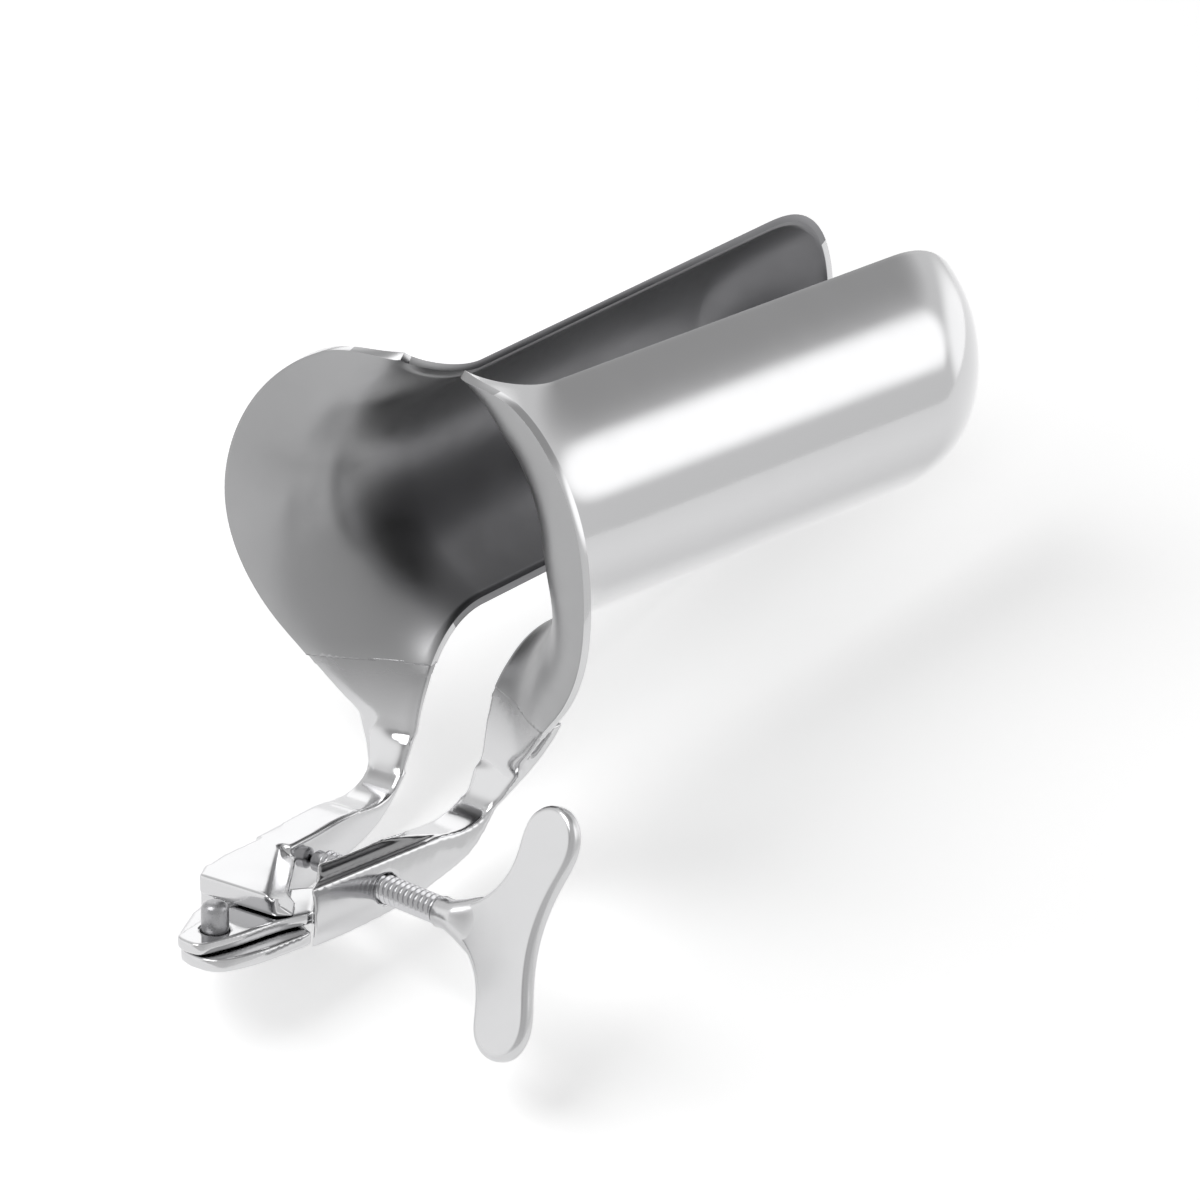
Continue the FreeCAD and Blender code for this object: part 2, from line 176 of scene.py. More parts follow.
def lower_place() -> Matrix:
    """The lower valve's frame: mirrored under the parting plane and let down to its place."""
    mirror = Matrix.Diagonal(Vector((1.0, 1.0, -1.0, 1.0)))
    return Matrix.Translation(Vector((0.0, 0.0, -LOWER_RIM_DROP * MM))) @ mirror


def screw_place() -> Matrix:
    """The screw's own frame, its axis along z, in the row frame."""
    return upper_place() @ Matrix.Translation(Vector((SCREW_AXIS[0] * MM, SCREW_AXIS[1] * MM, 0.0)))


def outward(shape: bmesh.types.BMesh) -> None:
    """Merges doubled points and turns every face outwards."""
    bmesh.ops.remove_doubles(shape, verts=shape.verts, dist=MERGE * MM)
    bmesh.ops.recalc_face_normals(shape, faces=shape.faces)


def finished_piece(
    shape: bmesh.types.BMesh,
    name: str,
    finish: bpy.types.Material,
    slot: Slot,
    body: str,
    *nodes: str,
) -> bpy.types.Object:
    """Makes an object of a mesh, dresses it and lets it ride on its body.

    Args:
        shape: The piece's mesh in the row frame, in metres. It is freed.
        name: The piece's name.
        finish: Its material.
        slot: The record's slot that the finish belongs to. It is not used.
        body: The body that it moves with.
        *nodes: The frame's nodes that it stands for.

    Returns:
        The new object, at the origin.
    """
    mesh = bpy.data.meshes.new(name)
    shape.to_mesh(mesh)
    shape.free()
    for polygon in mesh.polygons:
        # The wide flat faces that close a cut would bend the shading beside them.
        polygon.use_smooth = len(polygon.vertices) < BROAD_FACE
    mesh.materials.append(finish)
    piece = bpy.data.objects.new(name, mesh)
    bpy.context.scene.collection.objects.link(piece)
    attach(piece, body)
    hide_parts(*nodes)
    log.info("%s: %d faces on %s", name, len(mesh.polygons), body)
    return piece


def cut_flat(shape: bmesh.types.BMesh, height: float, keep_above: bool) -> None:
    """Cuts a closed shape off square at a height along y and closes the cut.

    Args:
        shape: The shape, in metres.
        height: Where the cut lies, in millimetres.
        keep_above: True keeps what is above the cut, False what is below it.
    """
    way = -1.0 if keep_above else 1.0
    parts = list(shape.verts) + list(shape.edges) + list(shape.faces)
    bmesh.ops.bisect_plane(
        shape, geom=parts, plane_co=(0.0, height * MM, 0.0), plane_no=(0.0, way, 0.0),
        clear_outer=True,
    )
    bmesh.ops.holes_fill(shape, edges=[edge for edge in shape.edges if edge.is_boundary], sides=0)


def node_copy(node: str) -> bmesh.types.BMesh:
    """Copies a node's mesh and merges its loose triangles.

    Args:
        node: The frame's node.

    Returns:
        The copy, in metres.
    """
    solid = bmesh.new()
    solid.from_mesh(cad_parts[node].data)
    bmesh.ops.remove_doubles(solid, verts=solid.verts, dist=MERGE * MM)
    return solid


def forged_skin(solids: list[bmesh.types.BMesh], grain: float, passes: int) -> bmesh.types.BMesh:
    """Makes one even skin round some solids, its edges softened as on a forging after polishing.

    Args:
        solids: Closed shapes, which may overlap. They are freed.
        grain: Spacing of the skin's points, in millimetres.
        passes: How many times the skin is smoothed.

    Returns:
        The skin in the solids' frame.
    """
    mesh = bpy.data.meshes.new("skin")
    heap = bmesh.new()
    for solid in solids:
        solid.to_mesh(mesh)
        heap.from_mesh(mesh)
        solid.free()
    heap.to_mesh(mesh)
    heap.free()
    holder = bpy.data.objects.new("skin", mesh)
    bpy.context.scene.collection.objects.link(holder)
    remesh = holder.modifiers.new("skin", "REMESH")
    remesh.mode = "VOXEL"
    remesh.voxel_size = grain * MM
    smooth = holder.modifiers.new("soften", "SMOOTH")
    smooth.factor = 0.5
    smooth.iterations = passes
    skin = bmesh.new()
    skin.from_object(holder, bpy.context.evaluated_depsgraph_get())
    bpy.data.objects.remove(holder)
    bpy.data.meshes.remove(mesh)
    bmesh.ops.recalc_face_normals(skin, faces=skin.faces)
    return skin


@dataclass(frozen=True)
class PolishedStainless:
    """Stainless steel, drawn or forged and then buffed: near mirror, with the soft waviness of hand
    buffing and faint cloudy streaks that blur the reflections a little."""

    name: str = "buffed_stainless_steel"
    colour: str = "#C4C4C5"
    roughness: float = 0.13
    cloud: float = 0.05
    streak: float = 4.0
    wave: float = 9.0
    wave_height: float = 0.02

    def make(self) -> bpy.types.Material:
        """Builds the material.

        Returns:
            The material, with its pattern in Object coordinates.
        """
        material = bare_material(self.name)
        tree = material.node_tree
        place = add_node(tree, "ShaderNodeTexCoord")
        # A buffing wheel leaves cloudy streaks of about 4 mm, and waves twice as long under them.
        cloud = add_node(
            tree, "ShaderNodeTexNoise",
            {"Vector": place.outputs["Object"], "Scale": 1.0 / (self.streak * MM), "Detail": 3.0},
        )
        rough = add_node(
            tree,
            "ShaderNodeMapRange",
            {
                "Value": cloud.outputs[0],
                "From Min": NOISE_LOW,
                "From Max": NOISE_HIGH,
                "To Min": self.roughness - self.cloud / 2.0,
                "To Max": self.roughness + self.cloud / 2.0,
            },
        )
        waves = add_node(
            tree, "ShaderNodeTexNoise",
            {"Vector": place.outputs["Object"], "Scale": 1.0 / (self.wave * MM), "Detail": 1.0},
        )
        bump = add_node(
            tree, "ShaderNodeBump",
            {"Height": waves.outputs[0], "Distance": self.wave_height * MM, "Strength": 1.0},
        )
        shader = add_node(
            tree,
            "ShaderNodeBsdfPrincipled",
            {
                "Base Color": linear(self.colour),
                "Metallic": 1.0,
                "Roughness": rough.outputs["Result"],
                "Normal": bump.outputs["Normal"],
            },
        )
        add_node(tree, "ShaderNodeOutputMaterial", {"Surface": shader.outputs[0]})
        return material


@dataclass(frozen=True)
class SatinInsideWithPaintedShade:
    """The inside of the drawn sheet, left satin so that it doesn't glare, with painted shade: an
    even grey, painted darker than the outside as painted shade, that fades to the buffed finish
    down the neck, where the lever was polished with it."""

    name: str = "satin_inside_painted_shade_steel"
    # Painted shade: the inside's grey is darker than the buffed outside, standing in for the shade
    # inside the valves.
    colour: str = "#9A9A9B"
    # Painted shade: the darker grey far down the tube, and the x range in millimetres over which
    # the inside goes over to it.
    tube_shade_colour: str = "#757577"
    tube_shade_from_x: float = 51.0
    tube_shade_to_x: float = 66.0
    roughness: float = 0.33
    cloud: float = 0.10
    patch: float = 8.0
    polished: PolishedStainless = PolishedStainless()
    fade_low: float = 15.0
    fade_high: float = 27.0

    def make(self) -> bpy.types.Material:
        """Builds the material.

        Returns:
            The material, with its fade along y in Object coordinates.
        """
        material = bare_material(self.name)
        tree = material.node_tree
        place = add_node(tree, "ShaderNodeTexCoord")
        axes = add_node(tree, "ShaderNodeSeparateXYZ", {0: place.outputs["Object"]})
        fade = add_node(
            tree,
            "ShaderNodeMapRange",
            {
                "Value": axes.outputs["Y"],
                "From Min": self.fade_low * MM,
                "From Max": self.fade_high * MM,
            },
            interpolation_type="SMOOTHSTEP",
        )
        # Five octaves lead from cloudy patches of 8 mm down to the satin's grain of about 0.25 mm.
        cloud = add_node(
            tree, "ShaderNodeTexNoise",
            {"Vector": place.outputs["Object"], "Scale": 1.0 / (self.patch * MM), "Detail": 5.0},
        )
        rough = add_node(
            tree,
            "ShaderNodeMapRange",
            {
                "Value": cloud.outputs[0],
                "From Min": NOISE_LOW,
                "From Max": NOISE_HIGH,
                "To Min": self.roughness - self.cloud / 2.0,
                "To Max": self.roughness + self.cloud / 2.0,
            },
        )
        blend = add_node(
            tree, "ShaderNodeMix",
            {0: fade.outputs["Result"], 2: self.polished.roughness, 3: rough.outputs["Result"]},
        )
        # Painted shade: past the throat the inside goes over to a darker grey, shade painted far
        # down the tube.
        tube_shade = add_node(
            tree,
            "ShaderNodeMapRange",
            {
                "Value": axes.outputs["X"],
                "From Min": self.tube_shade_from_x * MM,
                "From Max": self.tube_shade_to_x * MM,
            },
            interpolation_type="SMOOTHSTEP",
        )
        # Painted shade: the inside grey and the darker grey further down the tube, mixed along x.
        satin = add_node(
            tree, "ShaderNodeMix",
            {0: tube_shade.outputs["Result"], 6: linear(self.colour), 7: linear(self.tube_shade_colour)},
            data_type="RGBA",
        )
        tone = add_node(
            tree, "ShaderNodeMix",
            {0: fade.outputs["Result"], 6: linear(self.polished.colour), 7: satin.outputs[2]},
            data_type="RGBA",
        )
        shader = add_node(
            tree,
            "ShaderNodeBsdfPrincipled",
            {"Base Color": tone.outputs[2], "Metallic": 1.0, "Roughness": blend.outputs[0]},
        )
        add_node(tree, "ShaderNodeOutputMaterial", {"Surface": shader.outputs[0]})
        return material


@dataclass(frozen=True)
class TurnedStainless:
    """Stainless steel as it comes off the lathe: duller, with fine tool marks and a darker tone."""

    name: str = "turned_stainless_steel"
    colour: str = "#9C9C9E"
    roughness: float = 0.32
    grit: float = 0.16
    mark: float = 0.18
    mark_depth: float = 0.02
    mark_strength: float = 0.6

    def make(self) -> bpy.types.Material:
        """Builds the material.

        Returns:
            The material, with its pattern in Object coordinates.
        """
        material = bare_material(self.name)
        tree = material.node_tree
        place = add_node(tree, "ShaderNodeTexCoord")
        # Real tool marks are about 0.05 mm apart; they are drawn coarser, so that they show.
        grit = add_node(
            tree, "ShaderNodeTexNoise",
            {"Vector": place.outputs["Object"], "Scale": 1.0 / (self.mark * MM), "Detail": 4.0},
        )
        rough = add_node(
            tree,
            "ShaderNodeMapRange",
            {
                "Value": grit.outputs[0],
                "From Min": NOISE_LOW,
                "From Max": NOISE_HIGH,
                "To Min": self.roughness - self.grit / 2.0,
                "To Max": self.roughness + self.grit / 2.0,
            },
        )
        bump = add_node(
            tree, "ShaderNodeBump",
            {
                "Height": grit.outputs[0],
                "Distance": self.mark_depth * MM,
                "Strength": self.mark_strength,
            },
        )
        shader = add_node(
            tree,
            "ShaderNodeBsdfPrincipled",
            {
                "Base Color": linear(self.colour),
                "Metallic": 1.0,
                "Roughness": rough.outputs["Result"],
                "Normal": bump.outputs["Normal"],
            },
        )
        add_node(tree, "ShaderNodeOutputMaterial", {"Surface": shader.outputs[0]})
        return material


class SmoothLine:
    """A line through points that bends evenly, with a parameter given at each point."""

    def __init__(self, parameters: list[float], points: list[tuple[float, float, float]]) -> None:
        """Solves for the second derivatives, which are zero at both ends.

        Args:
            parameters: The line's parameter at each point, rising.
            points: The points that it goes through.
        """
        self.t = np.array(parameters)
        self.p = np.array(points)
        gaps = np.diff(self.t)
        count = len(parameters)
        matrix = np.eye(count)
        right = np.zeros((count, 3))
        for i in range(1, count - 1):
            matrix[i, i - 1] = gaps[i - 1]
            matrix[i, i] = 2.0 * (gaps[i - 1] + gaps[i])
            matrix[i, i + 1] = gaps[i]
            right[i] = 6.0 * (
                (self.p[i + 1] - self.p[i]) / gaps[i] - (self.p[i] - self.p[i - 1]) / gaps[i - 1]
            )
        self.bend = np.linalg.solve(matrix, right)

    def at(self, t: float) -> Vector:
        """Finds a point of the line.

        Args:
            t: The parameter, between the first and the last one given.

        Returns:
            The point, in the points' own unit.
        """
        i = int(np.clip(np.searchsorted(self.t, t) - 1, 0, len(self.t) - 2))
        gap = self.t[i + 1] - self.t[i]
        a, b = (self.t[i + 1] - t) / gap, (t - self.t[i]) / gap
        point = a * self.p[i] + b * self.p[i + 1]
        point += ((a ** 3 - a) * self.bend[i] + (b ** 3 - b) * self.bend[i + 1]) * gap ** 2 / 6.0
        return Vector(point)


@dataclass
class ValveSheet:
    """The blade, nose, funnel half and neck of one valve, drawn from one sheet."""

    valve: Valve
    finish: bpy.types.Material
    inside_finish: bpy.types.Material
    width: float = 37.4
    depth: float = 13.0
    centre_y: float = 47.9
    rounding: float = 0.25
    throat_x: float = 67.0
    tip_x: float = 152.5
    rim_nose: float = 17.0
    rim_fullness: float = 2.6
    bowl_nose: float = 18.0
    bowl_fullness: float = 1.6
    thickness: float = 1.3
    edge_radius: float = 0.42
    funnel_radius: float = 28.5
    funnel_centre_y: float = 47.2
    funnel_x: float = 45.0
    funnel_top_x: float = 48.5
    funnel_top_drop: float = 1.8
    neck_x: float = 51.2
    neck_end_y: float = 13.6
    neck_width: float = 11.3
    neck_lean: float = 4.7
    disc_turn: float = 130.0
    disc_share: float = 0.70
    # How much of the rim the funnel's rounded top corner takes, and how far it is cut back.
    corner_share: float = 0.14
    corner_cut: float = 0.11
    # Where the disc fades into the neck, and how far the flare leans into the tube and the disc.
    fade_from: float = 0.40
    fade_run: float = 0.32
    reach: float = 0.62
    disc_reach: float = 0.20
    corner_reach: float = 0.30
    inwards: float = 0.50
    disc_inwards: float = 0.22
    corner_inwards: float = 0.25
    rim_back: float = 0.06
    # How much of the run from the nose to the rim the closed nose and the tube take.
    nose_run: float = 0.22
    straight_run: float = 0.55
    nose_turn: float = 82.0
    rim: SmoothLine = field(init=False)

    def __post_init__(self) -> None:
        """Lays the funnel's rim from its top corner round to the neck's round end."""
        points, parameters = [], []
        for angle in (0.0, 24.0, 48.0, 70.0, 90.0, 111.0, self.disc_turn):
            turn = math.radians(angle)
            lean = math.cos(turn / 2.0) ** 8
            x = self.funnel_x + (self.funnel_top_x - self.funnel_x) * lean
            x += self.neck_lean * max(0.0, -math.cos(turn)) ** 1.5
            y = self.funnel_centre_y + self.funnel_radius * math.cos(turn)
            y -= self.funnel_top_drop * lean
            points.append((x, y, self.funnel_radius * math.sin(turn)))
            parameters.append(self.disc_share * angle / self.disc_turn)
        points += [
            (self.neck_x - 2.2, self.neck_end_y + 8.8, self.neck_width + 4.6),
            (self.neck_x - 0.8, self.neck_end_y + 3.4, self.neck_width),
            (self.neck_x + 0.5, self.neck_end_y + 0.7, 0.55 * self.neck_width),
            (self.neck_x + 1.4, self.neck_end_y, 0.0),
        ]
        parameters += [0.80, 0.875, 0.94, 1.0]
        self.rim = SmoothLine(parameters, points)

    def blade_point(self, x: float, share: float) -> Vector:
        """A point of the blade's outside.

        Args:
            x: The place along the blade.
            share: 0 at the top edge and 1 at the bottom edge.

        Returns:
            The point in the valve's own frame.
        """
        past_rim = max(0.0, (x - (self.tip_x - self.rim_nose)) / self.rim_nose)
        past_bowl = max(0.0, (x - (self.tip_x - self.bowl_nose)) / self.bowl_nose)
        width = self.width / 2.0
        width *= max(0.0, 1.0 - past_rim ** self.rim_fullness) ** (1.0 / self.rim_fullness)
        depth = self.depth
        depth *= max(0.0, 1.0 - past_bowl ** self.bowl_fullness) ** (1.0 / self.bowl_fullness)
        across = 1.0 - 2.0 * share
        arch = (1.0 - across ** 2) * (1.0 + self.rounding * across ** 2)
        return Vector((x, self.centre_y + width * across, depth * arch))

    def corner(self, share: float) -> float:
        """How far a share lies in the funnel's top corner: 1 at the top edge, 0 past the corner."""
        return max(0.0, 1.0 - share / self.corner_share) ** 2

    def flare_point(self, along: float, share: float) -> Vector:
        """A point of the funnel's outside.

        Args:
            along: 0 at the throat and 1 at the funnel's rim.
            share: 0 at the top edge and 1 at the neck's end.

        Returns:
            The point in the valve's own frame.
        """
        throat = self.blade_point(self.throat_x, share)
        rim = self.rim.at(share)
        # The disc is flatter than the neck below it, so the sheet turns more sharply into the tube.
        corner = self.corner(share)
        disc = (1.0 - ease((share - self.fade_from) / self.fade_run)) * (1.0 - corner)
        reach = self.reach + self.disc_reach * disc - self.corner_reach * corner
        inwards = self.inwards + self.disc_inwards * disc - self.corner_inwards * corner
        leave = Vector((throat.x - reach * (throat.x - rim.x), throat.y, throat.z))
        arrive = Vector(
            (
                rim.x + self.rim_back * (throat.x - rim.x),
                rim.y - inwards * (rim.y - throat.y),
                rim.z - inwards * (rim.z - throat.z),
            )
        )
        s, t = 1.0 - along, along
        return throat * s ** 3 + leave * (3 * s * s * t) + arrive * (3 * s * t * t) + rim * t ** 3

    def outside_point(self, run: float, share: float) -> Vector:
        """A point of the sheet's outside. The funnel's top corner is rounded off.

        Args:
            run: 0 at the nose and 1 at the funnel's rim.
            share: 0 at the top edge and 1 at the bottom edge.

        Returns:
            The point in the valve's own frame.
        """
        nose, straight = self.nose_run, self.straight_run
        bowl_start = self.tip_x - self.bowl_nose
        if run < nose:
            angle = math.radians(self.nose_turn) * (1.0 - run / nose)
            return self.blade_point(bowl_start + self.bowl_nose * math.sin(angle), share)
        if run < straight:
            part = (run - nose) / (straight - nose)
            return self.blade_point(bowl_start + (self.throat_x - bowl_start) * part, share)
        along = (run - straight) / (1.0 - straight)
        along *= 1.0 - self.corner_cut * self.corner(share)
        return self.flare_point(along, share)

    def build(self, runs: int = 150, shares: int = 90) -> bpy.types.Object:
        """Draws the sheet.

        Args:
            runs: Steps from the nose to the rim.
            shares: Steps across, from the top edge to the bottom edge.

        Returns:
            The finished piece.
        """
        shape = bmesh.new()
        bmesh.ops.create_grid(shape, x_segments=runs, y_segments=shares, size=1.0)
        for vert in shape.verts:
            run, share = (vert.co.x + 1.0) / 2.0, (vert.co.y + 1.0) / 2.0
            vert.co = self.outside_point(run, share) * MM
        bmesh.ops.recalc_face_normals(shape, faces=shape.faces)
        half_way = (self.throat_x + self.tip_x) / 2.0 * MM
        middle = min(shape.faces, key=lambda face: abs(face.calc_center_median().x - half_way))
        if middle.normal.z < 0.0:
            bmesh.ops.reverse_faces(shape, faces=shape.faces)
        bmesh.ops.solidify(shape, geom=list(shape.faces), thickness=self.thickness * MM)
        for vert in shape.verts:
            vert.co.z = max(0.0, vert.co.z)
        # Faces turned inwards take the satin inside material, whose darker grey is painted shade.
        outside = Vector((0.35, 0.0, 1.0))
        for face in shape.faces:
            # The sheet's cut edge lies in the parting plane and is buffed with the outside.
            on_edge = face.normal.z < -0.9 and face.calc_center_median().z < 0.2 * MM
            face.material_index = 1 if face.normal.dot(outside) < 0.0 and not on_edge else 0
        corners = [edge for edge in shape.edges if edge.calc_face_angle(0.0) > math.radians(50.0)]
        bmesh.ops.bevel(
            shape, geom=corners, affect="EDGES", offset=self.edge_radius * MM, segments=3,
            profile=0.5, material=-1, clamp_overlap=True,
        )
        place = upper_place() if self.valve is Valve.UPPER else lower_place()
        bmesh.ops.transform(shape, matrix=place, verts=shape.verts)
        cut_flat(shape, NECK_JOIN_Y - NECK_OVERLAP, keep_above=True)
        outward(shape)
        name = "drawn_sheet_" + self.valve.name.lower()
        node = self.valve.name.lower() + "_blade"
        piece = finished_piece(shape, name, self.finish, Slot.POLISHED, self.valve.value, node)
        piece.data.materials.append(self.inside_finish)
        return piece


@dataclass
class ForgedLever:
    """One valve's forged lever with its half of the hinge, brazed into the sheet's neck."""

    valve: Valve
    finish: bpy.types.Material
    inside_finish: bpy.types.Material
    grain: float = 0.2
    passes: int = 8
    hinge_passes: int = 14
    arm_passes: int = 130
    neck_spare: float = 3.0
    braze: float = 0.25
    braze_drop: float = 6.0
    # The bar's outer side face, its reach and its crown.
    bar_face: float = 6.8
    bar_end_x: float = 11.0
    bar_top_y: float = 9.0
    bar_middle_y: float = 3.6
    bar_half_height: float = 4.8
    bar_crown: float = 0.7
    # The heights at which the arm's smoothing ends, one step after the other.
    arm_tops: tuple[float, ...] = (18.5, 19.5, 20.5, 21.5, 22.5)
    satin_from_y: float = 14.0

    def soften(
        self, shape: bmesh.types.BMesh, verts: list[bmesh.types.BMVert], passes: int
    ) -> None:
        """Smooths some points of the skin and leaves the others.

        Args:
            shape: The skin.
            verts: The points that are smoothed.
            passes: How many times.
        """
        for _ in range(passes):
            bmesh.ops.smooth_vert(
                shape, verts=verts, factor=0.5, use_axis_x=True, use_axis_y=True, use_axis_z=True
            )

    def crown(self, shape: bmesh.types.BMesh, place: Matrix) -> None:
        """Rounds the bar's outer side face a little, as hammering and buffing leave it.

        Args:
            shape: The skin in the row frame.
            place: The valve's frame.
        """
        bmesh.ops.transform(shape, matrix=place.inverted(), verts=shape.verts)
        for vert in shape.verts:
            x, y, z = vert.co / MM
            if z > self.bar_face - 1.5 and x > self.bar_end_x and y < self.bar_top_y:
                height = (y - self.bar_middle_y) / self.bar_half_height
                vert.co.z -= self.bar_crown * min(1.0, height ** 2) * MM
        bmesh.ops.transform(shape, matrix=place, verts=shape.verts)

    def build(self) -> bpy.types.Object:
        """Makes the lever's polished skin.

        Returns:
            The finished piece.
        """
        node = self.valve.name.lower() + "_lever"
        place = upper_place() if self.valve is Valve.UPPER else lower_place()
        neck = node_copy(self.valve.name.lower() + "_blade")
        cut_flat(neck, NECK_JOIN_Y + self.neck_spare, keep_above=False)
        # A second copy behind the neck stands for the braze that fills the seam.
        filler = neck.copy()
        cut_flat(filler, NECK_JOIN_Y - self.braze_drop, keep_above=False)
        bmesh.ops.translate(filler, verts=filler.verts, vec=(self.braze * MM, 0.0, 0.0))
        shape = forged_skin([node_copy(node), neck, filler], self.grain, self.passes)
        self.crown(shape, place)
        arm = [v for v in shape.verts if self.bar_top_y <= v.co.y / MM < self.arm_tops[-1]]
        hinge = [v for v in shape.verts if v.co.y / MM < self.bar_top_y]
        # The smoothing ends in steps towards the neck, so that no ridge marks its end.
        for top in self.arm_tops:
            below = [v for v in arm if v.co.y / MM < top]
            self.soften(shape, below, self.arm_passes // len(self.arm_tops))
        self.soften(shape, hinge, self.hinge_passes)
        cut_flat(shape, NECK_JOIN_Y, keep_above=False)
        # Inner faces above satin_from_y take the satin inside material, whose darker grey is
        # painted shade.
        outside = place.to_3x3() @ Vector((1.0, 0.0, 0.6))
        for face in shape.faces:
            high = face.calc_center_median().y > self.satin_from_y * MM
            face.material_index = 1 if high and face.normal.dot(outside) < 0.0 else 0
        name = "forged_lever_" + self.valve.name.lower()
        piece = finished_piece(shape, name, self.finish, Slot.POLISHED, self.valve.value, node)
        piece.data.materials.append(self.inside_finish)
        return piece


@dataclass
class HingePin:
    """The upright pin, riveted into the lower cheek, its end peened to a dome."""

    finish: bpy.types.Material
    radius: float = 1.95
    chamfer: float = 0.2
    dome: float = 1.3
    dome_steps: int = 12

    def build(self) -> bpy.types.Object:
        """Turns the pin on its axis.

        Returns:
            The finished piece.
        """
        low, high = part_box("hinge_pin")
        bottom, top = low.y / MM, high.y / MM
        outline = [(0.0, bottom), (self.radius - self.chamfer, bottom)]
        outline.append((self.radius, bottom + self.chamfer))
        for step in range(self.dome_steps + 1):
            angle = math.radians(90.0 / self.dome_steps * step)
            out = self.radius * math.cos(angle) ** 0.7 if step < self.dome_steps else 0.0
            outline.append((out, top - self.dome + self.dome * math.sin(angle)))
        shape = bmesh.new()
        verts = [shape.verts.new((x * MM, y * MM, 0.0)) for x, y in outline]
        edges = [shape.edges.new(pair) for pair in zip(verts, verts[1:])]
        bmesh.ops.spin(
            shape, geom=verts + edges, cent=(0.0, 0.0, 0.0), axis=(0.0, 1.0, 0.0), angle=math.tau,
            steps=64, use_merge=True,
        )
        outward(shape)
        body = Valve.LOWER.value
        return finished_piece(shape, "peened_pin", self.finish, Slot.TURNED, body, "hinge_pin")


@dataclass
class ThumbScrew:
    """The screw: its plain tip, the threaded shank and the flat wing with its neck."""

    thread_finish: bpy.types.Material
    wing_finish: bpy.types.Material
    radius: float = 2.08
    pitch: float = 1.0
    depth: float = 0.58
    thread_end: float = 17.0
    start: float = -5.5
    neck_length: float = 6.0
    neck_radius: float = 2.42
    neck_flat_from: float = 2.0
    neck_flat_run: float = 7.0
    neck_spread: float = 0.9
    neck_thinning: float = 0.55
    wing_span: float = 36.8
    wing_offset: float = 1.6
    wing_width: float = 9.6
    wing_reach: float = 38.0
    wing_thickness: float = 2.4
    wing_edge: float = 0.95
    wing_tilt: float = 21.5

    def thread(self) -> bpy.types.Object:
        """Cuts a right-handed thread by winding one tooth round the axis.

        Returns:
            The finished shank.
        """
        # The tooth is wound past both ends, and the ends are then cut off square.
        steps = 40
        turns = math.ceil((self.thread_end - self.start) / self.pitch) + 3
        low = self.start - 1.5 * self.pitch
        root = self.radius - self.depth
        tooth = [
            (root, 0.0), (root + 0.12, 0.10), (self.radius - 0.08, 0.36), (self.radius, 0.44),
            (self.radius, 0.56), (self.radius - 0.08, 0.64), (root + 0.12, 0.90), (root, 1.0),
        ]
        shape = bmesh.new()
        verts = [shape.verts.new((x * MM, 0.0, (low + z * self.pitch) * MM)) for x, z in tooth]
        edges = [shape.edges.new(pair) for pair in zip(verts, verts[1:])]
        bmesh.ops.spin(
            shape, geom=verts + edges, cent=(0.0, 0.0, 0.0), axis=(0.0, 0.0, 1.0),
            dvec=(0.0, 0.0, self.pitch / steps * MM), angle=math.tau * turns, steps=steps * turns,
        )
        bmesh.ops.remove_doubles(shape, verts=shape.verts, dist=0.004 * MM)
        for height, way in ((self.start, -1.0), (self.thread_end, 1.0)):
            parts = list(shape.verts) + list(shape.edges) + list(shape.faces)
            bmesh.ops.bisect_plane(
                shape, geom=parts, plane_co=(0.0, 0.0, height * MM), plane_no=(0.0, 0.0, way),
                clear_outer=True,
            )
            rims = [
                edge for edge in shape.edges if edge.is_boundary
                and all(abs(v.co.z - height * MM) < 0.01 * MM for v in edge.verts)
            ]
            bmesh.ops.holes_fill(shape, edges=rims, sides=0)
        outward(shape)
        bmesh.ops.transform(shape, matrix=screw_place(), verts=shape.verts)
        return finished_piece(
            shape, "threaded_shank", self.thread_finish, Slot.TURNED, "screw", "screw_shank"
        )

    def wing_line(self) -> list[Vector]:
        """Lays the wing's outline from one side of the neck round to the other.

        Returns:
            Evenly spaced points in metres, across as x and away from the tip as z.
        """
        inner = self.wing_reach - self.wing_width
        root = self.thread_end + self.neck_length

        def half_outline(side: float) -> list[tuple[float, float, float]]:
            """Gives one half of the outline, from the neck to the back.

            Args:
                side: 1 for the longer lobe and -1 for the shorter one.

            Returns:
                Points in millimetres.
            """
            half = self.wing_span / 2.0 + side * self.wing_offset
            back = self.wing_reach
            spans = [
                (1.9, root - 2.5), (3.2, root + 0.2), (6.6, inner - 1.6), (11.5, inner + 0.2),
                (half - 2.6, inner + 1.0), (half - 0.2, inner + 4.2), (half - 1.0, back - 1.6),
                (half - 4.6, back + 0.3), (half - 10.6, back - 0.9),
            ]
            return [(side * span, 0.0, reach) for span, reach in spans]

        points = half_outline(1.0) + [(self.wing_offset, 0.0, self.wing_reach - 2.2)]
        points += list(reversed(half_outline(-1.0)))
        steps = [0.0]
        for one, other in zip(points, points[1:]):
            steps.append(steps[-1] + math.dist(one, other))
        line = SmoothLine(steps, points)
        count = 150
        return [line.at(steps[-1] * k / count) * MM for k in range(count + 1)]

    def wing(self) -> bpy.types.Object:
        """Cuts the wing from plate, rounds its rim and adds its neck.

        Returns:
            The finished wing.
        """
        shape = bmesh.new()
        half = Vector((0.0, self.wing_thickness / 2.0 * MM, 0.0))
        rim = [shape.verts.new(point - half) for point in self.wing_line()]
        face = shape.faces.new(rim)
        lifted = bmesh.ops.extrude_face_region(shape, geom=[face])["geom"]
        top = [item for item in lifted if isinstance(item, bmesh.types.BMVert)]
        bmesh.ops.translate(shape, verts=top, vec=2.0 * half)
        bmesh.ops.recalc_face_normals(shape, faces=shape.faces)
        ring = [edge for edge in shape.edges if edge.calc_face_angle(0.0) > math.radians(60.0)]
        ring = [edge for edge in ring if abs(edge.verts[0].co.y - edge.verts[1].co.y) < 0.1 * MM]
        bmesh.ops.bevel(
            shape, geom=ring, affect="EDGES", offset=self.wing_edge * MM, segments=5, profile=0.5,
            material=-1, clamp_overlap=True,
        )
